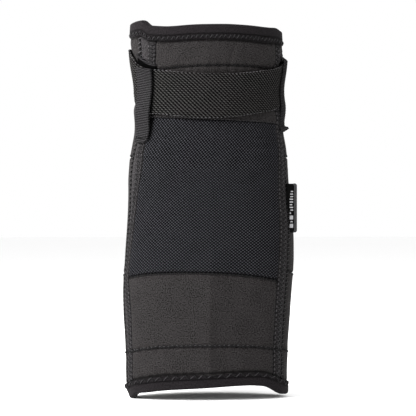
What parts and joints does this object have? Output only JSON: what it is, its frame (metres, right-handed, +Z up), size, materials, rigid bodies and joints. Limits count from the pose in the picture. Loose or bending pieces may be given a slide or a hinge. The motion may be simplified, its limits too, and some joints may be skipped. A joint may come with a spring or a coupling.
{
  "type": "elbow guard sleeve",
  "caption": "Pull-on elbow guard: neoprene and mesh sleeve with padded elbow side, elastic strap in webbing keepers and hook-and-loop tab.",
  "frame": {"origin": "on the ground, in the middle of the guard's outline seen from above", "axes": "+Z up the arm from the forearm cuff to the upper-arm hem, -Y the crook of the elbow, +Y the padded elbow side, +X the side with the folded tag"},
  "size_m": [0.1158, 0.0772, 0.25],
  "materials": {
    "neoprene": "matt jersey-faced neoprene, charcoal",
    "hem_fabric": "matt binding, zigzag stitched",
    "mesh": "open mesh with a fine diagonal lattice",
    "cover_fabric": "tough close weave",
    "strap_elastic": "coarse twill elastic",
    "keeper_elastic": "ribbed elastic webbing",
    "hook_and_loop": "hook and loop pile",
    "foam": "moulded impact foam",
    "gripper": "silicone printed elastic",
    "rubber": "satin moulded rubber"
  },
  "bodies": {
    "forearm": {"lower_hem": "hem_fabric", "rear_lower_panel": "neoprene", "rear_mesh_panel": "mesh", "left_side_strip": "neoprene", "right_side_strip": "neoprene", "front_lower_panel": "neoprene", "front_middle_panel": "neoprene", "lower_gripper": "gripper", "elbow_foam": "foam", "elbow_cover": "cover_fabric", "forearm_foam": "foam", "forearm_cover": "cover_fabric", "side_tag": "rubber"},
    "upper_arm": {"upper_hem": "hem_fabric", "rear_upper_panel": "neoprene", "front_upper_panel": "neoprene", "upper_gripper": "gripper", "upper_arm_foam": "foam", "upper_arm_cover": "cover_fabric", "strap_band": "strap_elastic", "strap_anchor": "strap_elastic", "loop_patch": "hook_and_loop", "left_keeper": "keeper_elastic", "right_keeper": "keeper_elastic"},
    "strap_end": {"strap_end": "strap_elastic"},
    "tab": {"closing_tab": "strap_elastic", "hook_patch": "hook_and_loop", "pull_grip": "rubber"}
  },
  "joints": [
    {"name": "elbow_flex", "type": "hinge", "parent": "forearm", "child": "upper_arm", "pos_m": [-0.0019, -0.0078, 0.125], "axis": [1, 0, 0], "range_deg": [-5, 90], "stiffness_Nm_per_rad": 0.4, "deforming": ["rear_mesh_panel", "left_side_strip", "right_side_strip", "front_middle_panel"]},
    {"name": "strap_pull", "type": "hinge", "parent": "upper_arm", "child": "strap_end", "pos_m": [-0.0019, -0.0478, 0.217], "axis": [0, 0, 1], "range_deg": [0, 8], "stiffness_Nm_per_rad": 2, "deforming": ["strap_band"]},
    {"name": "tab_peel", "type": "hinge", "parent": "strap_end", "child": "tab", "pos_m": [0.0178, 0.0241, 0.217], "axis": [0.0912, -0.0222, -0.9956], "range_deg": [0, 110]}
  ]
}
